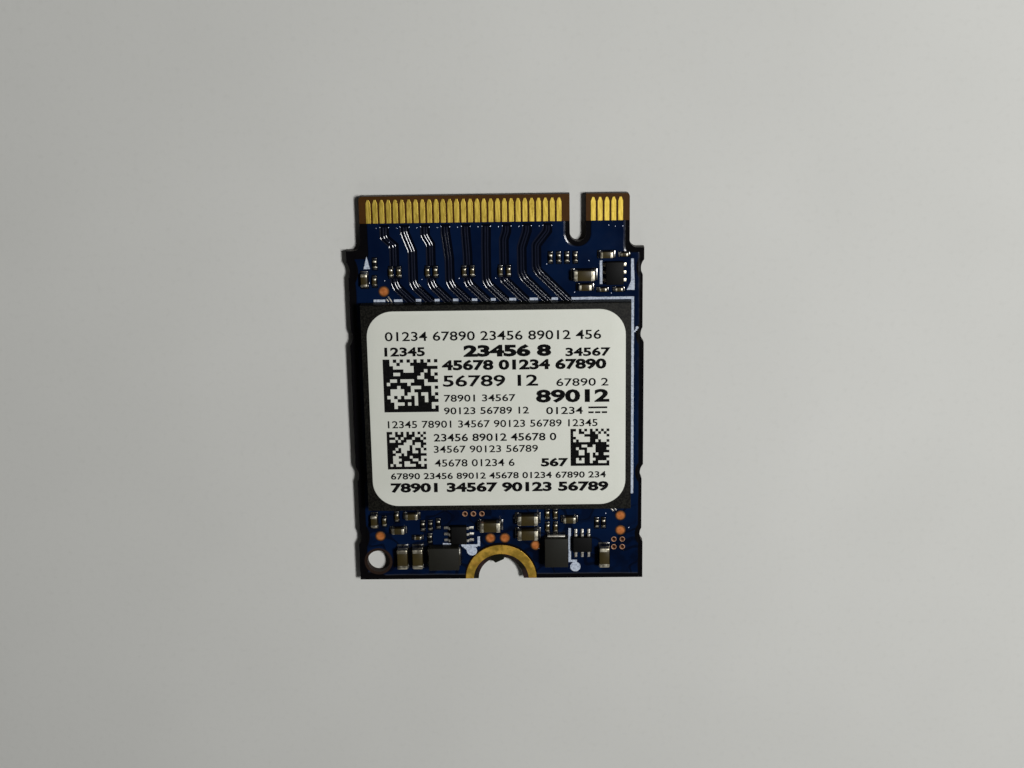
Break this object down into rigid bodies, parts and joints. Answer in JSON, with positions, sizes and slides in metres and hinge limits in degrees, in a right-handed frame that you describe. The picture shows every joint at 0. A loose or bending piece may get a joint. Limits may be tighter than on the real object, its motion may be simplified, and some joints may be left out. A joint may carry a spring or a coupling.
{
  "type": "gumstick solid state drive",
  "caption": "Short circuit card with a notched gold edge connector, one flat labelled storage package and small parts at both ends; a half-moon seat takes the holding screw.",
  "frame": {"origin": "under the middle of the card, on its lowest plane", "axes": "+Y along the card towards the gold edge contacts, +X to the side with the key notch, +Z out of the side with the parts"},
  "size_m": [0.022, 0.03, 0.0022],
  "materials": {
    "laminate": "glass-fibre laminate, cut edges",
    "solder_mask": "dark blue solder mask, satin gloss",
    "contact_gold": "hard gold plating, polished",
    "ring_gold": "gold plating, scratched",
    "bare_copper": "bare copper, satin",
    "via_plating": "plated barrel",
    "covered_track": "track under solder mask",
    "white_ink": "printed ink",
    "solder": "solder, shiny",
    "package_substrate": "dark laminate edge",
    "package_resin": "moulded epoxy, fine grain",
    "label_paper": "matt coated paper",
    "capacitor_ceramic": "fired ceramic",
    "tinned_cap": "tin plating",
    "resistor_glaze": "black glaze",
    "pressed_core": "pressed metal powder",
    "chip_resin": "moulded epoxy"
  },
  "bodies": {
    "root": {"bulk_capacitor_bodies": "capacitor_ceramic", "bulk_capacitor_caps": "tinned_cap", "circuit_board": "laminate", "core_regulator_body": "chip_resin", "core_regulator_leads": "tinned_cap", "coupling_capacitor_bodies": "capacitor_ceramic", "coupling_capacitor_caps": "tinned_cap", "decoupling_capacitor_bodies": "capacitor_ceramic", "decoupling_capacitor_caps": "tinned_cap", "edge_contacts_bottom": "contact_gold", "edge_contacts_top": "contact_gold", "inductor_bodies": "pressed_core", "inductor_terminals": "tinned_cap", "input_regulator_body": "chip_resin", "input_regulator_leads": "tinned_cap", "load_switch_body": "chip_resin", "load_switch_pads": "tinned_cap", "mount_ring_bottom": "ring_gold", "mount_ring_top": "ring_gold", "package_mould": "package_resin", "package_solder_balls": "solder", "package_substrate": "package_substrate", "resistor_bodies": "resistor_glaze", "resistor_caps": "tinned_cap", "signal_traces": "covered_track", "silkscreen_marks": "white_ink", "small_capacitor_bodies": "capacitor_ceramic", "small_capacitor_caps": "tinned_cap", "solder_joints": "solder", "solder_mask_bottom": "solder_mask", "solder_mask_top": "solder_mask", "storage_label": "label_paper", "test_pads": "bare_copper", "via_barrels": "via_plating"}
  },
  "joints": []
}
